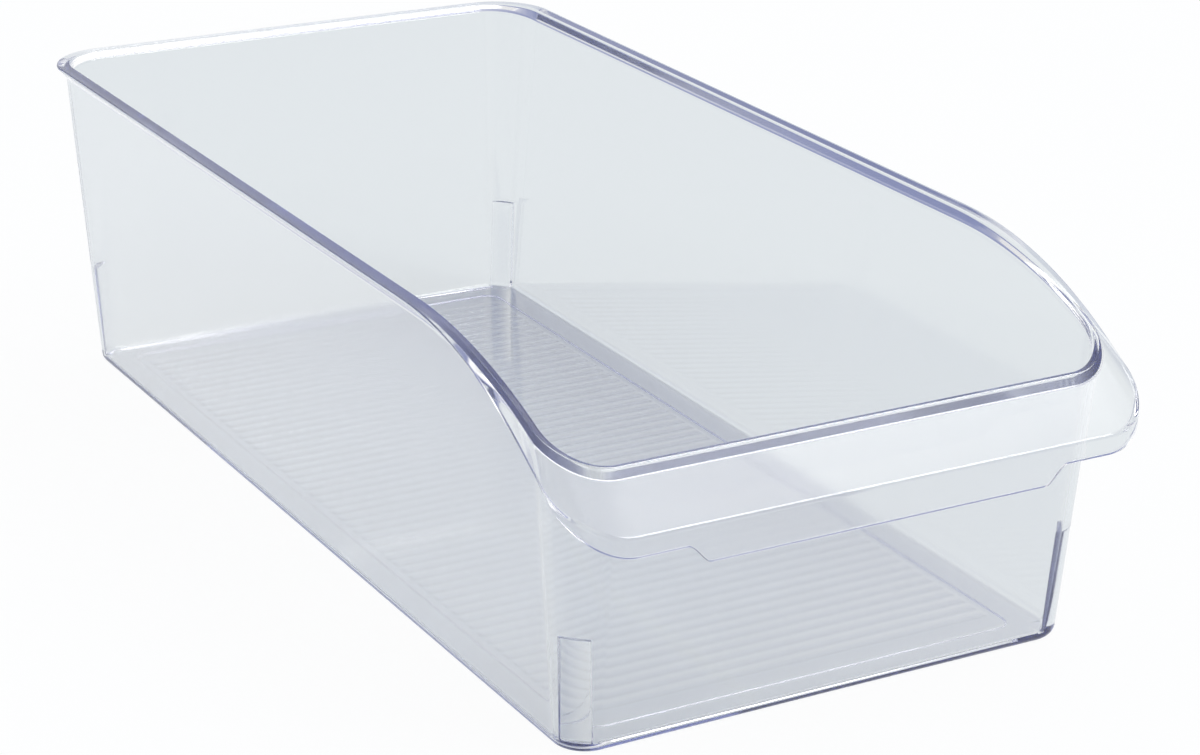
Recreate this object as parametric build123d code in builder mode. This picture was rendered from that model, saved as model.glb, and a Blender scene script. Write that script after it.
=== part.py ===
"""Clear moulded refrigerator bin with a sloping front pull.

Frame: origin at the centre of the foot, +Z up, the pull at -Y, +X to the right of someone facing the pull.
Sizes are in millimetres and degrees.
"""

import math
import os

from build123d import *

os.makedirs("parts", exist_ok=True)

# Walls and floor
base_width = 180.0
base_length = 378.0
body_height = 118.0
draft_angle = 4.5
base_corner_radius = 10.5
wall_thickness = 2.2
floor_thickness = 2.8
foot_edge_radius = 2.4
floor_fillet_radius = 3.0

# Rim flange, level round the back, bending down along both sides to a straight apron at the front
rim_overhang = 3.0
rim_root_radius = 2.0
flange_thickness = 2.2
flange_edge_radius = 0.9
flange_bend_radius = 151.0
apron_angle = 30.4
pull_reach = 17.0
pull_corner_radius = 20.5

# Wall tops, which stay above the falling flange as a raised rim
front_rim_height = 92.5
rim_stand = 4.0
rim_lead = 1.5
rim_edge_radius = 0.8

# Turned-down lip round the front of the flange, and the grip tab on it
lip_thickness = 2.2
lip_depth = 6.5
lip_run = 23.0
tab_depth = 6.0
tab_width = 132.0
tab_end_slant = 7.0
tab_corner_radius = 5.0

# Stops in the four inner corners, on which a nested bin comes to rest
stop_height = 37.5
stop_thickness = 2.2
stop_span_angle = 50.0

# Underside: a flat foot band round a shallow recess with fine ribs across it
foot_band = 12.5
recess_depth = 0.7
recess_corner_radius = 6.0
rib_pitch = 6.0
rib_width = 3.0
rib_height = 0.35
rib_end_gap = 3.0
rib_flank_angle = 40.0

# Room that cutting shapes have past the faces they cut
overrun = 5.0

# How much of a face's normal is vertical before the face counts as a top or an underside and not as a wall
level_share = 0.5

# Places worked out from the sizes above
draft_rise = math.tan(math.radians(draft_angle))
rim_half_width = base_width / 2 + body_height * draft_rise + rim_overhang
rim_back = base_length / 2 + body_height * draft_rise + rim_overhang
rim_corner_radius = base_corner_radius + body_height * draft_rise + rim_overhang
front_wall = -base_length / 2 - front_rim_height * draft_rise
pull_front = front_wall - pull_reach
apron_slope = math.tan(math.radians(apron_angle))
pull_crease_height = front_rim_height - rim_stand - pull_reach * apron_slope
bend_corner = pull_front + (body_height - pull_crease_height) / apron_slope
bend_half_tangent = math.tan(math.radians(apron_angle / 2))
bend_start = bend_corner + flange_bend_radius * bend_half_tangent
underside_corner = bend_corner + flange_thickness * bend_half_tangent
apron_end = pull_front - overrun
lip_bottom = pull_crease_height - lip_depth
lip_end = pull_front + lip_run


def apron_level(y, below_top):
    """Height of the apron's plane at a place along the bin, so far below its upper face."""
    plumb_depth = below_top / math.cos(math.radians(apron_angle))
    return pull_crease_height + (y - pull_front) * apron_slope - plumb_depth


def faces_up(face):
    """Whether a face is a top, such as a rim, the flange or the floor."""
    return face.normal_at().Z > level_share


def faces_down(face):
    """Whether a face is an underside."""
    return face.normal_at().Z < -level_share


def stands_upright(face):
    """Whether a face is a wall, plumb or drafted."""
    return abs(face.normal_at().Z) <= level_share


def leans_in(face):
    """Whether a face is a drafted wall seen from inside the bin."""
    return 0 < face.normal_at().Z <= level_share


def leans_out(face):
    """Whether a face is a drafted wall seen from outside the bin."""
    return -level_share <= face.normal_at().Z < 0


# Flange: its plan outline, cut to a plate that is level at the back and bends down to the pull
with BuildPart() as flange:
    with BuildSketch() as flange_outline:
        with Locations((0, (rim_back + pull_front) / 2)):
            Rectangle(2 * rim_half_width, rim_back - pull_front)
        fillet(flange_outline.vertices().group_by(Axis.Y)[0], pull_corner_radius)
        fillet(flange_outline.vertices().group_by(Axis.Y)[-1], rim_corner_radius)
    extrude(amount=body_height + overrun)
    with BuildSketch(Plane.YZ):
        with BuildLine():
            top = FilletPolyline(
                (rim_back + overrun, body_height),
                (bend_corner, body_height),
                (apron_end, apron_level(apron_end, 0)),
                radius=flange_bend_radius,
            )
            underside = FilletPolyline(
                (rim_back + overrun, body_height - flange_thickness),
                (underside_corner, body_height - flange_thickness),
                (apron_end, apron_level(apron_end, flange_thickness)),
                radius=flange_bend_radius - flange_thickness,
            )
            Line(top @ 0, underside @ 0)
            Line(top @ 1, underside @ 1)
        make_face()
    extrude(amount=rim_half_width + overrun, both=True, mode=Mode.INTERSECT)
    top_edges = flange.faces().filter_by(faces_up).edges()
    outline_edges = flange.faces().filter_by(stands_upright).edges()
    fillet(top_edges & outline_edges, flange_edge_radius)

# Lip: a band inside the flange outline that hangs below the apron and fades out round the front corners
with BuildPart() as lip:
    with BuildSketch():
        add(flange_outline.sketch)
        offset(flange_outline.sketch, amount=-lip_thickness, mode=Mode.SUBTRACT)
    extrude(amount=body_height)
    with BuildSketch(Plane.YZ):
        with BuildLine():
            Polyline(
                (apron_end, lip_bottom),
                (pull_front, lip_bottom),
                (lip_end, apron_level(lip_end, flange_thickness)),
                (lip_end, apron_level(lip_end, flange_thickness / 2)),
                (apron_end, apron_level(apron_end, flange_thickness / 2)),
                close=True,
            )
        make_face()
    extrude(amount=rim_half_width + overrun, both=True, mode=Mode.INTERSECT)
    with BuildSketch(Plane.XZ.offset(-pull_front)) as tab_outline:
        with BuildLine():
            Polyline(
                (-tab_width / 2, lip_bottom + lip_depth / 2),
                (-tab_width / 2, lip_bottom),
                (-tab_width / 2 + tab_end_slant, lip_bottom - tab_depth),
                (tab_width / 2 - tab_end_slant, lip_bottom - tab_depth),
                (tab_width / 2, lip_bottom),
                (tab_width / 2, lip_bottom + lip_depth / 2),
                close=True,
            )
        make_face()
        fillet(tab_outline.vertices().group_by(Axis.Y)[0], tab_corner_radius)
    extrude(amount=-lip_thickness)

# Inside of the bin, as a drafted block with a rounded foot
with BuildPart() as inside:
    inside_inset = wall_thickness - floor_thickness * draft_rise
    with BuildSketch(Plane.XY.offset(floor_thickness)):
        RectangleRounded(
            base_width - 2 * inside_inset,
            base_length - 2 * inside_inset,
            base_corner_radius - inside_inset,
        )
    extrude(amount=body_height - floor_thickness + overrun, taper=-draft_angle)
    fillet(inside.faces().sort_by(Axis.Z)[0].edges(), floor_fillet_radius)

# Corner stops: pads across the drafted inner corners, each part of a ring
with BuildPart() as stops:
    corner_x = base_width / 2 - base_corner_radius
    corner_y = base_length / 2 - base_corner_radius
    stop_foot = floor_thickness / 2
    stop_foot_radius = base_corner_radius - wall_thickness / 2 + stop_foot * draft_rise
    stop_top_radius = base_corner_radius - wall_thickness / 2 + stop_height * draft_rise
    stop_depth = wall_thickness / 2 + stop_thickness
    stop_start = math.radians((90 - stop_span_angle) / 2)
    stop_plane = Plane(
        origin=(corner_x, corner_y, 0),
        x_dir=(math.cos(stop_start), math.sin(stop_start), 0),
        z_dir=(math.sin(stop_start), -math.cos(stop_start), 0),
    )
    with BuildSketch(stop_plane):
        with BuildLine():
            Polyline(
                (stop_foot_radius, stop_foot),
                (stop_top_radius, stop_height),
                (stop_top_radius - stop_depth, stop_height),
                (stop_foot_radius - stop_depth, stop_foot),
                close=True,
            )
        make_face()
    revolve(axis=Axis((corner_x, corner_y, 0), (0, 0, 1)), revolution_arc=stop_span_angle)
    mirror(about=Plane.YZ)
    mirror(about=Plane.XZ)

# The bin, one moulding
with BuildPart() as bin_moulding:
    with BuildSketch():
        RectangleRounded(base_width, base_length, base_corner_radius)
    extrude(amount=body_height, taper=-draft_angle)
    fillet(bin_moulding.faces().sort_by(Axis.Z)[0].edges(), foot_edge_radius)
    add(flange.part)
    add(lip.part)
    add(inside.part, mode=Mode.SUBTRACT)
    with BuildSketch(Plane.YZ):
        with BuildLine():
            slope_top = (bend_start - rim_lead, body_height)
            slope_foot = (front_wall, front_rim_height)
            TangentArc(slope_top, slope_foot, tangent=(-1, 0))
            Polyline(
                slope_foot,
                (pull_front, front_rim_height),
                (pull_front, body_height + overrun),
                (slope_top[0], body_height + overrun),
                slope_top,
            )
        make_face()
    extrude(amount=rim_half_width, both=True, mode=Mode.SUBTRACT)
    tops = bin_moulding.faces().filter_by(faces_up).edges()
    insides = bin_moulding.faces().filter_by(leans_in).edges()
    rim_edges = (tops & insides).filter_by_position(Axis.Z, front_rim_height, body_height)
    fillet(rim_edges, rim_edge_radius)
    undersides = bin_moulding.faces().filter_by(faces_down).edges()
    outsides = bin_moulding.faces().filter_by(leans_out).edges()
    root_edges = (undersides & outsides).filter_by_position(Axis.Z, pull_crease_height, body_height)
    fillet(root_edges, rim_root_radius)
    add(stops.part)
    with BuildSketch():
        RectangleRounded(
            base_width - 2 * foot_band,
            base_length - 2 * foot_band,
            recess_corner_radius,
        )
    extrude(amount=recess_depth, mode=Mode.SUBTRACT)
    rib_length = base_width - 2 * (foot_band + rib_end_gap)
    rib_count = math.floor((base_length - 2 * foot_band - 2 * recess_corner_radius) / rib_pitch)
    with BuildSketch(Plane.XY.offset(recess_depth)):
        with GridLocations(0, rib_pitch, 1, rib_count):
            Rectangle(rib_length, rib_width)
    extrude(amount=-rib_height, taper=rib_flank_angle)

bin_moulding.part.label = "bin"
export_step(bin_moulding.part, "parts/bin.step")
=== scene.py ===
"""Clear moulded refrigerator bin: its mesh, its plastic and the studio that it stands in.

Origin at the centre of the foot, +Z up, the pull at -Y, in metres.
"""

import math
from collections import namedtuple

import bmesh
import bpy
from mathutils import Matrix, Vector


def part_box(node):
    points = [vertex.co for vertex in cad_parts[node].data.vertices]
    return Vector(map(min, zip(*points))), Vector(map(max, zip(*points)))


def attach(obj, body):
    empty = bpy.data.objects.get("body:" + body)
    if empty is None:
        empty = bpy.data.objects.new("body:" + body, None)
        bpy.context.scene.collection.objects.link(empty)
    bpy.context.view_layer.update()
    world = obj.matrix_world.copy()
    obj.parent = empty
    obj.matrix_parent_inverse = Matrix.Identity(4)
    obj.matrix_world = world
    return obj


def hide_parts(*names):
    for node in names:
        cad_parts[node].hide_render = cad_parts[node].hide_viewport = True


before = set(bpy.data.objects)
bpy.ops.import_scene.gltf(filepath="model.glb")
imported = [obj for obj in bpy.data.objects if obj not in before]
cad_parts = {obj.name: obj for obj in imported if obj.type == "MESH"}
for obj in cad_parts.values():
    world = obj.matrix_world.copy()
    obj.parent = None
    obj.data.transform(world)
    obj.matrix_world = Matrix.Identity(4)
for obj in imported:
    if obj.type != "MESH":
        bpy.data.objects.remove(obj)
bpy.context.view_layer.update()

MM = 0.001
WHITE = "#FFFFFF"

# Walls and floor
WALL = 2.2 * MM
FLOOR = 2.8 * MM
DRAFT = math.tan(math.radians(4.5))
BASE_CORNER = 10.5 * MM
FLOOR_FILLET = 1.4 * MM
FLOOR_MARGIN = 6.0 * MM
FOOT_EDGE = 3.6 * MM

# Rim flange, thicker at its root along the sides, and the apron that it runs down to
RIM_OVERHANG = 3.0 * MM
FLANGE = 2.2 * MM
FLANGE_EDGE = 1.2 * MM
FLANGE_TUCK = 0.5 * MM
FLANGE_RIM = 1.2 * MM
FLARE = 2.6 * MM
ROOT_FILLET = 3.0 * MM
PULL_ROOT_FILLET = 1.0 * MM
BEND_RADIUS = 151.0 * MM
APRON_ANGLE = math.radians(30.4)
PULL_REACH = 17.0 * MM
PULL_CORNER = 20.5 * MM

# Raised rim inside the falling flange
FRONT_RIM = 92.5 * MM
RIM_STAND = 4.0 * MM
RIM_LEAD = 1.5 * MM
RIM_EDGE = 1.05 * MM
RIM_FOOT = 0.5 * MM
RIM_STAND_SHARE = 0.08
RIM_SPREAD = 0.9 * MM
RIM_SPREAD_SHARE = 0.2

# Turned-down lip and its grip tab
LIP = 2.2 * MM
LIP_EDGE = 0.9 * MM
LIP_DEPTH = 6.5 * MM
LIP_RUN = 23.0 * MM
CREASE_EDGE = 2.0 * MM
TAB_DEPTH = 6.0 * MM
TAB_HALF = 66.0 * MM
TAB_SLANT = 8.0 * MM

# Corner stops, flat across the corner
STOP = 2.2 * MM
STOP_TOP = 37.5 * MM
STOP_EDGE = 0.6 * MM
STOP_HALF = 4.6 * MM

# Degrees of a corner's mitre and of its quarter turn
MITRE = 45
QUARTER = 90

# Underside, a foot band round a recessed panel of shallow reeds
FOOT_BAND = 12.5 * MM
RECESS = 0.7 * MM
RECESS_CORNER = 6.0 * MM
RECESS_EDGE = 0.3 * MM
PANEL_MARGIN = 1.5 * MM
REED_PITCH = 6.0 * MM
REED_DEPTH = 0.09 * MM
REED_END = 3.0 * MM
REED_RISE = 0.8 * MM

# How finely the mesh follows its curves: places round the bin, then steps round the edges of a section
PLAIN_STOPS = 2
TAB_STOPS = 24
BEND_STOPS = 44
CORNER_STOPS = 12
CORNER_END_STOPS = 3
STOP_FLANK_STOPS = 8
REED_STOPS = 8
REED_END_STOPS = 4
SETTLE_STOPS = 6
ROUND_STEPS = 6
EDGE_STEPS = 5
SMALL_STEPS = 3
RECESS_STEPS = 2
MERGE = 0.002 * MM
SHARP = math.radians(38)

# Clear polystyrene: its index, the blue of a long way through it, and the low waves and haze of its skin
POLYSTYRENE_IOR = 1.59
DEEP_BLUE = "#8493D3"
DEEP_BLUE_DENSITY = 5.2
FLOW_LENGTH = 28 * MM
FLOW_DEPTH = 0.01 * MM
FLOW_STRENGTH = 0.04
FLOW_DETAIL = 2.0
FLOW_ROUGHNESS = 0.4
HAZE_GRAIN = 6 * MM
HAZE_DETAIL = 5.0
HAZE_ROUGHNESS = 0.6
HAZE_LOW = 0.3
HAZE_HIGH = 0.75
GLOSS_CLEAN = 0.04
GLOSS_HAZY = 0.08

# White board under the bin: its paint, its colour through plastic, and how white it shows, open or under
# the bin's painted shade
BOARD_HALF = 4.0
BOARD_GAP = 0.05 * MM
BOARD_PAINT = "#DAE6F0"
BOARD_THROUGH = "#E4E8E9"
WHITE_SHARE = 0.95
THROUGH_SHARE = 0.85
# Shares of the board's glow under the bin are a painted shade: lightest at the front right, darker at the
# front left and the back, and held down where the bin covers the board closely
BACK_SHARE = 0.35
FRONT_LEFT_SHARE = 0.35
FRONT_RIGHT_SHARE = 0.8
SHADE_REACH = 4 * MM
SHADE_SAMPLES = 4

# Studio sky: the way to each patch, the cosines at its rim and core, and its strength outside and inside
Patch = namedtuple("Patch", "way rim core outside inside")
BACKDROP = Patch(Vector((0.45, 0.85, 0.3)), 0.7, 0.95, 0.85, 1.12)
FRONT_LAMP = Patch(Vector((0.45, -0.55, 0.7)), 0.97, 0.985, 0.0, 5.5)
TOP_LAMP = Patch(Vector((0.47, 0.08, 0.88)), 0.92, 0.96, 0.0, 1.5)

# Low cards at both sides of the sky: where they begin and are full sideways, and where they end upwards
CARD_COLOUR = "#7C84AE"
CARD_BEGIN = 0.2
CARD_FULL = 0.6
CARD_LOW = 0.4
CARD_HIGH = 0.55

# Light that runs along inside the walls is turned back many times before it leaves at a rim
LIGHT_TURNS = 200

# Camera, at the photograph's angle
AZIMUTH = math.radians(-30.10)
ELEVATION = math.radians(21.11)
ROLL = math.radians(1.03)
TARGET = Vector((31.0 * MM, 0, 29.35 * MM))
DISTANCE = 1107.7 * MM
LENS = 94.15
SENSOR = 36.0
SHIFT_X = -0.00854
SHIFT_Y = 0.00941
NEAREST = 10 * MM

# Places worked out from the frame and the sizes above
bin_low, bin_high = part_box("bin")
TOP = bin_high.z
RIM_SIDE = bin_high.x
PULL_FRONT = bin_low.y
CORNER_X = RIM_SIDE - RIM_OVERHANG - TOP * DRAFT - BASE_CORNER
CORNER_Y = bin_high.y - RIM_OVERHANG - TOP * DRAFT - BASE_CORNER
FRONT_WALL = -(CORNER_Y + BASE_CORNER + FRONT_RIM * DRAFT)
APRON_SLOPE = math.tan(APRON_ANGLE)
CREASE = FRONT_RIM - RIM_STAND - PULL_REACH * APRON_SLOPE
BEND_TANGENT = BEND_RADIUS * math.tan(APRON_ANGLE / 2)
BEND_CORNER = PULL_FRONT + (TOP - CREASE) / APRON_SLOPE
BEND_START = BEND_CORNER + BEND_TANGENT
BEND_END = BEND_CORNER - BEND_TANGENT * math.cos(APRON_ANGLE)
RIM_START = BEND_START - RIM_LEAD
RIM_RUN = RIM_START - FRONT_WALL
RIM_FALL = TOP - FRONT_RIM
RIM_RADIUS = (RIM_RUN**2 + RIM_FALL**2) / (2 * RIM_FALL)
PULL_CORNER_X = RIM_SIDE - PULL_CORNER
PULL_CORNER_Y = PULL_FRONT + PULL_CORNER
RECESS_X = CORNER_X + BASE_CORNER - FOOT_BAND - RECESS_CORNER
RECESS_Y = CORNER_Y + BASE_CORNER - FOOT_BAND - RECESS_CORNER

# One place round the bin: its wall's corner centre and outward heading, its flange's edge, and its stop
Place = namedtuple("Place", "anchor out edge stop stop_top")


def ease(share):
    """Smooth step from 0 to 1."""
    share = min(1, max(0, share))
    return share * share * (3 - 2 * share)


def spread(stops, counts):
    """Values evenly spaced between each stop and the next."""
    values = [stops[0]]
    for start, end, count in zip(stops, stops[1:], counts):
        values += [start + (end - start) * (step + 1) / count for step in range(count)]
    return values


def flange_fall(y):
    """Slope of the flange at a place along the bin."""
    if y >= BEND_START:
        return 0
    if y >= BEND_END:
        return math.tan(math.asin((BEND_START - y) / BEND_RADIUS))
    return APRON_SLOPE


def flange_level(y):
    """Height of the flange's upper face: level, then an arc, then the straight apron."""
    if y >= BEND_START:
        return TOP
    if y >= BEND_END:
        return TOP - BEND_RADIUS + math.sqrt(BEND_RADIUS**2 - (BEND_START - y) ** 2)
    return CREASE + (y - PULL_FRONT) * APRON_SLOPE


def rim_level(y):
    """Height of the wall's top, one arc from the level rim down to the front wall."""
    if y >= RIM_START:
        return TOP
    return TOP - RIM_RADIUS + math.sqrt(RIM_RADIUS**2 - (RIM_START - y) ** 2)


def lip_depth(edge):
    """How far the flange's outer edge is turned down, with the grip tab in the middle of the front."""
    plain = FLANGE_RIM * math.hypot(1, flange_fall(edge.y))
    fade = min(1, (edge.y - PULL_FRONT) / LIP_RUN)
    tab = ease((TAB_HALF - abs(edge.x)) / TAB_SLANT) if edge.y < PULL_CORNER_Y else 0
    return LIP_DEPTH + (plain - LIP_DEPTH) * fade + TAB_DEPTH * tab


def at(plan, height):
    """A point of the plan at a height."""
    return Vector((plan.x, plan.y, height))


def wall_at(place, height, inset):
    """A point of the drafted wall at a height, so far inside its outer face."""
    return at(place.anchor + place.out * (BASE_CORNER + height * DRAFT - inset), height)


def settle(level, place, inset):
    """Height at which a face of the wall meets a level that falls along the bin."""
    height = TOP
    for _ in range(SETTLE_STOPS):
        height = level(wall_at(place, height, inset).y)
    return height


def rounded(corners):
    """A line through corners of (point, radius, steps), rounded to arcs that fit side by side."""
    points = [corner[0] for corner in corners]
    reaches = [0] * len(points)
    angles = [math.pi] * len(points)
    for i in range(1, len(points) - 1):
        back = points[i - 1] - points[i]
        ahead = points[i + 1] - points[i]
        if min(back.length, ahead.length) > MERGE:
            angles[i] = back.angle(ahead)
            reaches[i] = corners[i][1] / math.tan(angles[i] / 2)
    limits = list(reaches)
    for i in range(len(points) - 1):
        room = (points[i + 1] - points[i]).length
        wanted = reaches[i] + reaches[i + 1]
        if wanted > room:
            limits[i] = min(limits[i], reaches[i] * room / wanted)
            limits[i + 1] = min(limits[i + 1], reaches[i + 1] * room / wanted)
    line = [points[0]]
    for i in range(1, len(points) - 1):
        steps = corners[i][2]
        if limits[i] < MERGE:
            line += [points[i]] * (steps + 1)
            continue
        back = (points[i - 1] - points[i]).normalized()
        ahead = (points[i + 1] - points[i]).normalized()
        middle = points[i] + (back + ahead).normalized() * limits[i] / math.cos(angles[i] / 2)
        start = points[i] + back * limits[i] - middle
        end = points[i] + ahead * limits[i] - middle
        turn = math.pi - angles[i]
        for step in range(steps + 1):
            share = step / steps
            arc = start * math.sin((1 - share) * turn) + end * math.sin(share * turn)
            line.append(middle + arc / math.sin(turn))
    return line + [points[-1]]


def section(place):
    """Outline of the moulding at one place: floor, inner wall, rim, flange, lip, outer wall and foot."""
    rim = settle(rim_level, place, WALL / 2)
    foot = rim - RIM_STAND_SHARE * (rim - settle(flange_level, place, 0))
    rim_spread = min(RIM_SPREAD, RIM_SPREAD_SHARE * (rim - foot))
    edge = flange_level(place.edge.y)
    slope = (foot - edge) / (place.edge - wall_at(place, foot, 0).xy).length
    plain = FLANGE * math.hypot(1, slope)
    turned = lip_depth(place.edge)
    hanging = ease((turned - plain) / LIP)
    level = ease((place.edge.y - PULL_CORNER_Y) / (BEND_START - PULL_CORNER_Y))
    root = foot - plain - FLARE * level * place.out.x**2
    inset = FLANGE_TUCK + (LIP - FLANGE_TUCK) * hanging
    tuck = place.edge - place.out * inset
    ceiling = max(edge - turned, edge + slope * inset - plain)
    crease_edge = FLANGE_EDGE + (CREASE_EDGE - FLANGE_EDGE) * hanging
    root_fillet = PULL_ROOT_FILLET + (ROOT_FILLET - PULL_ROOT_FILLET) * level
    border = Vector((place.anchor.x * RECESS_X / CORNER_X, place.anchor.y * RECESS_Y / CORNER_Y))
    recess = border + place.out * RECESS_CORNER
    return rounded((
        (wall_at(place, FLOOR, WALL + place.stop + FLOOR_MARGIN), 0, 0),
        (wall_at(place, FLOOR, WALL + place.stop), FLOOR_FILLET, ROUND_STEPS),
        (wall_at(place, place.stop_top, WALL + place.stop), STOP_EDGE, SMALL_STEPS),
        (wall_at(place, place.stop_top, WALL), STOP_EDGE, SMALL_STEPS),
        (wall_at(place, rim, WALL), RIM_EDGE, ROUND_STEPS),
        (wall_at(place, rim, 0), RIM_EDGE, ROUND_STEPS),
        (wall_at(place, foot, -rim_spread), RIM_FOOT, EDGE_STEPS),
        (at(place.edge, edge), crease_edge, ROUND_STEPS),
        (at(place.edge, edge - turned), LIP_EDGE, EDGE_STEPS),
        (at(tuck, edge - turned), LIP_EDGE, EDGE_STEPS),
        (at(tuck, ceiling), LIP_EDGE, SMALL_STEPS),
        (wall_at(place, root, 0), root_fillet, ROUND_STEPS),
        (wall_at(place, 0, 0), FOOT_EDGE, ROUND_STEPS),
        (at(recess, 0), RECESS_EDGE, RECESS_STEPS),
        (at(recess, RECESS), RECESS_EDGE, RECESS_STEPS),
        (at(recess - place.out * PANEL_MARGIN, RECESS), 0, 0),
    ))


def corner_places(anchor, heading, edge_of):
    """Places round a quarter turn from a heading in degrees, past a stop of one width down to the floor."""
    inside = BASE_CORNER - WALL
    wide = MITRE - math.degrees(math.asin(STOP_HALF / (inside + FLOOR * DRAFT)))
    narrow = MITRE - math.degrees(math.asin(STOP_HALF / (inside + STOP_TOP * DRAFT)))
    turns = spread(
        (0, wide, narrow, QUARTER - narrow, QUARTER - wide, QUARTER),
        (CORNER_END_STOPS, STOP_FLANK_STOPS, CORNER_STOPS, STOP_FLANK_STOPS, CORNER_END_STOPS),
    )
    places = []
    for turn in turns:
        angle = math.radians(heading + turn)
        out = Vector((math.cos(angle), math.sin(angle)))
        nearest = min(turn, QUARTER - turn)
        from_mitre = math.radians(MITRE - nearest)
        flat = 1 / math.cos(from_mitre)
        stop = STOP * flat - (inside + STOP_TOP / 2 * DRAFT) * (flat - 1) if nearest >= wide else 0
        reach = STOP_HALF / math.sin(from_mitre) if nearest < narrow else math.inf
        top = max(FLOOR, min(STOP_TOP, (reach - inside) / DRAFT))
        places.append(Place(anchor, out, edge_of(out), stop, top))
    return places


def right_half():
    """Places from the middle of the pull, round the right side, to the middle of the back."""
    front, side, back = Vector((0, -1)), Vector((1, 0)), Vector((0, 1))
    overhang = BASE_CORNER + TOP * DRAFT + RIM_OVERHANG
    places = []
    tab_stops = (0, TAB_HALF - TAB_SLANT, TAB_HALF, PULL_CORNER_X)
    for x in spread(tab_stops, (PLAIN_STOPS, TAB_STOPS, PLAIN_STOPS)):
        anchor = Vector((x * CORNER_X / PULL_CORNER_X, -CORNER_Y))
        places.append(Place(anchor, front, Vector((x, PULL_FRONT)), 0, STOP_TOP))
    pull_corner = Vector((PULL_CORNER_X, PULL_CORNER_Y))
    front_corner = Vector((CORNER_X, -CORNER_Y))
    places += corner_places(front_corner, -QUARTER, lambda out: pull_corner + out * PULL_CORNER)
    stretch = (BEND_START - PULL_CORNER_Y) / (BEND_START + CORNER_Y)
    for y in spread((-CORNER_Y, BEND_START, CORNER_Y), (BEND_STOPS, PLAIN_STOPS)):
        edge_y = BEND_START + min(0, y - BEND_START) * stretch + max(0, y - BEND_START)
        places.append(Place(Vector((CORNER_X, y)), side, Vector((RIM_SIDE, edge_y)), 0, STOP_TOP))
    back_corner = Vector((CORNER_X, CORNER_Y))
    places += corner_places(back_corner, 0, lambda out: back_corner + out * overhang)
    middle = Vector((0, CORNER_Y))
    places.append(Place(middle, back, middle + back * overhang, 0, STOP_TOP))
    return places


def mirrored(place):
    """The same place on the left side."""
    across = Vector((-1, 1))
    return place._replace(
        anchor=place.anchor * across,
        out=place.out * across,
        edge=place.edge * across,
    )


def add_reeds(bm):
    """The panel of the underside, a sheet that bulges into a row of shallow reeds."""
    half_width = RECESS_X + RECESS_CORNER - REED_END
    flat = half_width - REED_RISE
    columns = spread((-half_width, -flat, flat, half_width), (REED_END_STOPS, 1, REED_END_STOPS))
    rises = [ease((half_width - abs(x)) / REED_RISE) for x in columns]
    count = math.floor(2 * RECESS_Y / REED_PITCH)
    grid = []
    for step in range(count * REED_STOPS + 1):
        reed = step / REED_STOPS
        y = (reed - count / 2) * REED_PITCH
        depth = REED_DEPTH * (1 - (2 * (reed % 1) - 1) ** 2)
        grid.append([bm.verts.new((x, y, RECESS - depth * rise)) for x, rise in zip(columns, rises)])
    for row, following in zip(grid, grid[1:]):
        for i in range(len(columns) - 1):
            bm.faces.new((row[i], row[i + 1], following[i + 1], following[i]))
    return grid


def bin_mesh():
    """The whole moulding as one closed skin."""
    half = right_half()
    loop = half + [mirrored(place) for place in half[-2:0:-1]]
    bm = bmesh.new()
    rings = [[bm.verts.new(point) for point in section(place)] for place in loop]
    for ring, following in zip(rings, rings[1:] + rings[:1]):
        for i in range(len(ring) - 1):
            bm.faces.new((ring[i], following[i], following[i + 1], ring[i + 1]))
    bm.faces.new([ring[0] for ring in rings])
    bmesh.ops.remove_doubles(bm, verts=bm.verts, dist=MERGE)
    bmesh.ops.dissolve_degenerate(bm, edges=bm.edges, dist=MERGE)
    panel_edges = [edge for edge in bm.edges if edge.is_boundary]
    grid = add_reeds(bm)
    field_edges = {edge for row in grid for vert in row for edge in vert.link_edges if edge.is_boundary}
    bmesh.ops.triangle_fill(bm, edges=panel_edges + list(field_edges), use_beauty=True)
    bmesh.ops.recalc_face_normals(bm, faces=bm.faces)
    mesh = bpy.data.meshes.new("bin_moulding")
    bm.to_mesh(mesh)
    bm.free()
    mesh.shade_smooth()
    mesh.set_sharp_from_angle(angle=SHARP)
    return mesh


def board_mesh():
    """One large flat face."""
    bm = bmesh.new()
    bmesh.ops.create_grid(bm, x_segments=1, y_segments=1, size=BOARD_HALF)
    mesh = bpy.data.meshes.new("studio_floor")
    bm.to_mesh(mesh)
    bm.free()
    return mesh


def linear(code):
    """A hex sRGB colour as linear numbers."""
    parts = [int(code[i : i + 2], 16) / 255 for i in (1, 3, 5)]
    return [p / 12.92 if p <= 0.04045 else ((p + 0.055) / 1.055) ** 2.4 for p in parts] + [1]


def bare_tree(owner):
    """The node tree of a material or the world, with nothing in it."""
    owner.use_nodes = True
    owner.node_tree.nodes.clear()
    return owner.node_tree


def add_node(tree, kind, settings=None, values=None, links=None):
    """Add a node with its settings, the values of its inputs and the links into them."""
    node = tree.nodes.new(kind)
    for name, value in (settings or {}).items():
        setattr(node, name, value)
    for name, value in (values or {}).items():
        node.inputs[name].default_value = value
    for name, socket in (links or {}).items():
        tree.links.new(socket, node.inputs[name])
    return node


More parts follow.
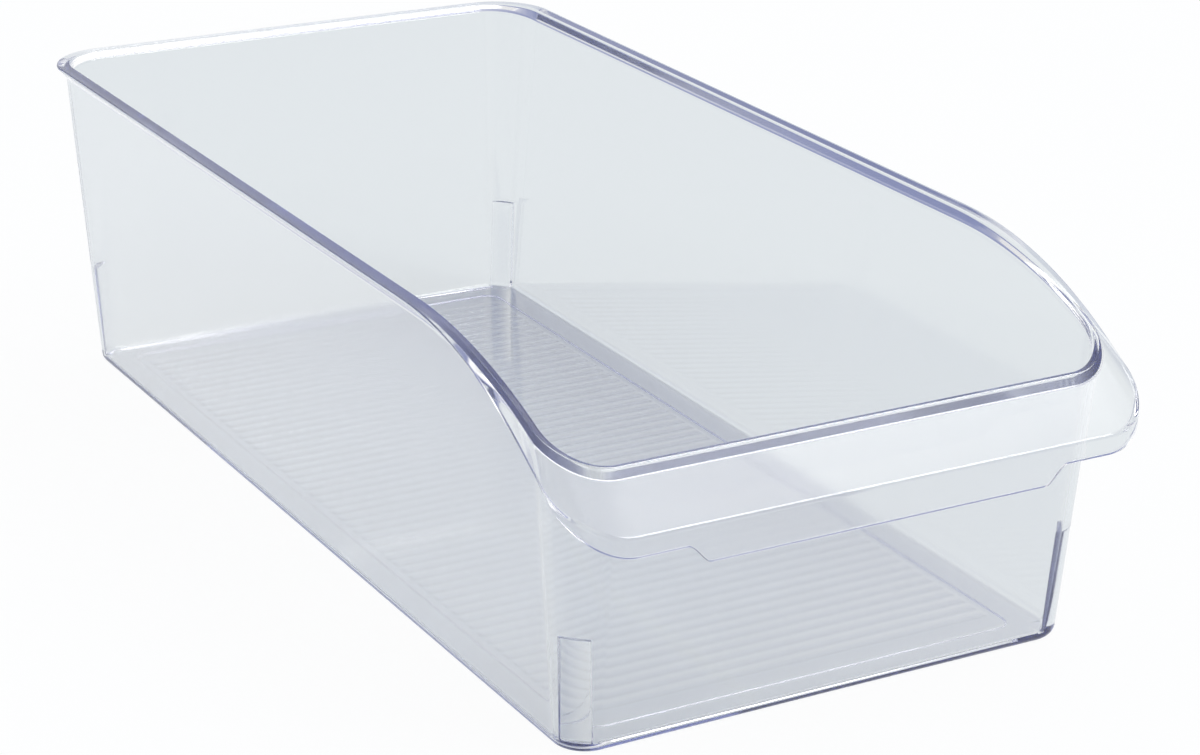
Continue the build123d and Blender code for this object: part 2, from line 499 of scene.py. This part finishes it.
def clear_polystyrene():
    """Clear polystyrene from a polished mould."""
    material = bpy.data.materials.new("clear_polystyrene")
    tree = bare_tree(material)
    place = add_node(tree, "ShaderNodeTexCoord").outputs["Object"]
    # The melt's flow leaves long low waves, which bend what is seen through the walls a little
    flow = add_node(
        tree,
        "ShaderNodeTexNoise",
        values={"Scale": 1 / FLOW_LENGTH, "Detail": FLOW_DETAIL, "Roughness": FLOW_ROUGHNESS},
        links={"Vector": place},
    )
    wave = add_node(
        tree,
        "ShaderNodeBump",
        values={"Strength": FLOW_STRENGTH, "Distance": FLOW_DEPTH},
        links={"Height": flow.outputs["Fac"]},
    )
    # The polish is glossy with patches of faint haze, so that mirrored and far things are slightly soft
    haze = add_node(
        tree,
        "ShaderNodeTexNoise",
        values={"Scale": 1 / HAZE_GRAIN, "Detail": HAZE_DETAIL, "Roughness": HAZE_ROUGHNESS},
        links={"Vector": place},
    )
    gloss = add_node(
        tree,
        "ShaderNodeMapRange",
        values={"From Min": HAZE_LOW, "From Max": HAZE_HIGH, "To Min": GLOSS_CLEAN, "To Max": GLOSS_HAZY},
        links={"Value": haze.outputs["Fac"]},
    )
    surface = add_node(
        tree,
        "ShaderNodeBsdfPrincipled",
        values={"Base Color": linear(WHITE), "IOR": POLYSTYRENE_IOR, "Transmission Weight": 1.0},
        links={"Roughness": gloss.outputs["Result"], "Normal": wave.outputs["Normal"]},
    )
    # A wall looks almost colourless across its thickness, and an edge violet-blue along its length
    depth = add_node(
        tree,
        "ShaderNodeVolumeAbsorption",
        values={"Color": linear(DEEP_BLUE), "Density": DEEP_BLUE_DENSITY},
    )
    add_node(
        tree,
        "ShaderNodeOutputMaterial",
        links={"Surface": surface.outputs["BSDF"], "Volume": depth.outputs["Volume"]},
    )
    return material


def white_board():
    """Matt painted board, which shows as white in the open and takes the bin's shadow, partly as real shade
    on its paint and partly as painted shade in its glow.
    """
    material = bpy.data.materials.new("white_board")
    tree = bare_tree(material)
    paint = add_node(tree, "ShaderNodeBsdfDiffuse", values={"Color": linear(BOARD_PAINT)})
    rays = add_node(tree, "ShaderNodeLightPath").outputs
    shine = add_node(
        tree,
        "ShaderNodeMath",
        settings={"operation": "MAXIMUM"},
        links={0: rays["Is Glossy Ray"], 1: rays["Is Transmission Ray"]},
    )
    # Under the bin the board's glow is dimmed as a painted shade where the bin covers it closely, and this
    # painted shade is lightest towards the front right
    open_sky = add_node(
        tree,
        "ShaderNodeAmbientOcclusion",
        settings={"samples": SHADE_SAMPLES},
        values={"Distance": SHADE_REACH},
    )
    place = add_node(tree, "ShaderNodeTexCoord").outputs["Object"]
    along = add_node(tree, "ShaderNodeSeparateXYZ", links={"Vector": place})
    # Painted shade graded by place: lighter to the right at the front, and lighter at the front than at the
    # back
    painted_shade_across = add_node(
        tree,
        "ShaderNodeMapRange",
        values={
            "From Min": -CORNER_X,
            "From Max": CORNER_X,
            "To Min": FRONT_LEFT_SHARE,
            "To Max": FRONT_RIGHT_SHARE,
        },
        links={"Value": along.outputs["X"]},
    )
    painted_shade = add_node(
        tree,
        "ShaderNodeMapRange",
        values={"From Min": -CORNER_Y, "From Max": CORNER_Y, "To Max": BACK_SHARE},
        links={"Value": along.outputs["Y"], "To Min": painted_shade_across.outputs["Result"]},
    )
    glow_in_painted_shade = add_node(
        tree,
        "ShaderNodeMapRange",
        values={"To Max": THROUGH_SHARE},
        links={"Value": open_sky.outputs["AO"], "To Min": painted_shade.outputs["Result"]},
    )
    through = add_node(
        tree,
        "ShaderNodeMath",
        settings={"operation": "MULTIPLY"},
        links={0: shine.outputs["Value"], 1: glow_in_painted_shade.outputs["Result"]},
    )
    seen = add_node(
        tree,
        "ShaderNodeMath",
        settings={"operation": "MULTIPLY_ADD", "use_clamp": True},
        values={1: WHITE_SHARE},
        links={0: rays["Is Camera Ray"], 2: through.outputs["Value"]},
    )
    shown = add_node(
        tree,
        "ShaderNodeMixRGB",
        values={"Color1": linear(WHITE), "Color2": linear(BOARD_THROUGH)},
        links={"Fac": rays["Is Transmission Ray"]},
    )
    glow = add_node(
        tree,
        "ShaderNodeEmission",
        values={"Strength": 1.0},
        links={"Color": shown.outputs["Color"]},
    )
    mix = add_node(
        tree,
        "ShaderNodeMixShader",
        links={0: seen.outputs["Value"], 1: paint.outputs["BSDF"], 2: glow.outputs["Emission"]},
    )
    add_node(tree, "ShaderNodeOutputMaterial", links={"Surface": mix.outputs["Shader"]})
    # The board only shows as white, and is no lamp of its own
    material.cycles.emission_sampling = "NONE"
    return material


def add_patch(tree, heading, patch):
    """Light that rises smoothly towards one way of the sky."""
    facing = add_node(
        tree,
        "ShaderNodeVectorMath",
        settings={"operation": "DOT_PRODUCT"},
        values={1: patch.way.normalized()},
        links={0: heading},
    )
    rise = add_node(
        tree,
        "ShaderNodeMapRange",
        settings={"interpolation_type": "SMOOTHSTEP"},
        values={
            "From Min": patch.rim,
            "From Max": patch.core,
            "To Min": patch.outside,
            "To Max": patch.inside,
        },
        links={"Value": facing.outputs["Value"]},
    )
    return rise.outputs["Result"]


def studio_sky():
    """White sky with a backdrop, two lamps, and low blue-grey cards that draw the lines along the rims."""
    world = bpy.data.worlds.new("studio")
    tree = bare_tree(world)
    heading = add_node(tree, "ShaderNodeTexCoord").outputs["Generated"]
    lamps = add_node(
        tree,
        "ShaderNodeMath",
        settings={"operation": "ADD"},
        links={0: add_patch(tree, heading, FRONT_LAMP), 1: add_patch(tree, heading, TOP_LAMP)},
    )
    light = add_node(
        tree,
        "ShaderNodeMath",
        settings={"operation": "ADD"},
        links={0: add_patch(tree, heading, BACKDROP), 1: lamps.outputs["Value"]},
    )
    across = add_node(tree, "ShaderNodeSeparateXYZ", links={"Vector": heading})
    aside = add_node(
        tree,
        "ShaderNodeMath",
        settings={"operation": "ABSOLUTE"},
        links={0: across.outputs["X"]},
    )
    card_sides = add_node(
        tree,
        "ShaderNodeMapRange",
        settings={"interpolation_type": "SMOOTHSTEP"},
        values={"From Min": CARD_BEGIN, "From Max": CARD_FULL},
        links={"Value": aside.outputs["Value"]},
    )
    card_tops = add_node(
        tree,
        "ShaderNodeMapRange",
        settings={"interpolation_type": "SMOOTHSTEP"},
        values={"From Min": CARD_LOW, "From Max": CARD_HIGH, "To Min": 1.0, "To Max": 0.0},
        links={"Value": across.outputs["Z"]},
    )
    cards = add_node(
        tree,
        "ShaderNodeMath",
        settings={"operation": "MULTIPLY"},
        links={0: card_sides.outputs["Result"], 1: card_tops.outputs["Result"]},
    )
    tint = add_node(
        tree,
        "ShaderNodeMixRGB",
        values={"Color1": linear(WHITE), "Color2": linear(CARD_COLOUR)},
        links={"Fac": cards.outputs["Value"]},
    )
    sky = add_node(
        tree,
        "ShaderNodeBackground",
        links={"Color": tint.outputs["Color"], "Strength": light.outputs["Value"]},
    )
    add_node(tree, "ShaderNodeOutputWorld", links={"Surface": sky.outputs["Background"]})
    return world


def add_camera():
    """A camera turned to its target, with the photograph's slight roll."""
    camera_data = bpy.data.cameras.new("camera")
    camera_data.lens = LENS
    camera_data.sensor_width = SENSOR
    camera_data.shift_x = SHIFT_X
    camera_data.shift_y = SHIFT_Y
    camera_data.clip_start = NEAREST
    camera = bpy.data.objects.new("camera", camera_data)
    backward = Vector((
        math.sin(AZIMUTH) * math.cos(ELEVATION),
        -math.cos(AZIMUTH) * math.cos(ELEVATION),
        math.sin(ELEVATION),
    ))
    level_right = Vector((0, 0, 1)).cross(backward).normalized()
    level_up = backward.cross(level_right)
    right = level_right * math.cos(ROLL) + level_up * math.sin(ROLL)
    up = level_up * math.cos(ROLL) - level_right * math.sin(ROLL)
    turned_to = Matrix((right, up, backward)).transposed()
    camera.matrix_world = Matrix.Translation(TARGET + backward * DISTANCE) @ turned_to.to_4x4()
    bpy.context.scene.collection.objects.link(camera)
    return camera


def add_piece(name, mesh, material):
    """Add a mesh to the scene as an object."""
    piece = bpy.data.objects.new(name, mesh)
    mesh.materials.append(material)
    bpy.context.scene.collection.objects.link(piece)
    return piece


# The bin
bin_piece = add_piece("bin_moulding", bin_mesh(), clear_polystyrene())
flat_faces = bin_piece.modifiers.new("flat_faces", "WEIGHTED_NORMAL")
flat_faces.keep_sharp = True
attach(bin_piece, "root")
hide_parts("bin")

# The studio
floor = add_piece("studio_floor", board_mesh(), white_board())
floor.location.z = -BOARD_GAP
bpy.context.scene.world = studio_sky()
bpy.context.scene.camera = add_camera()

# How the light is followed and shown
scene = bpy.context.scene
scene.view_settings.view_transform = "Standard"
scene.cycles.max_bounces = LIGHT_TURNS
scene.cycles.glossy_bounces = LIGHT_TURNS
scene.cycles.transmission_bounces = LIGHT_TURNS
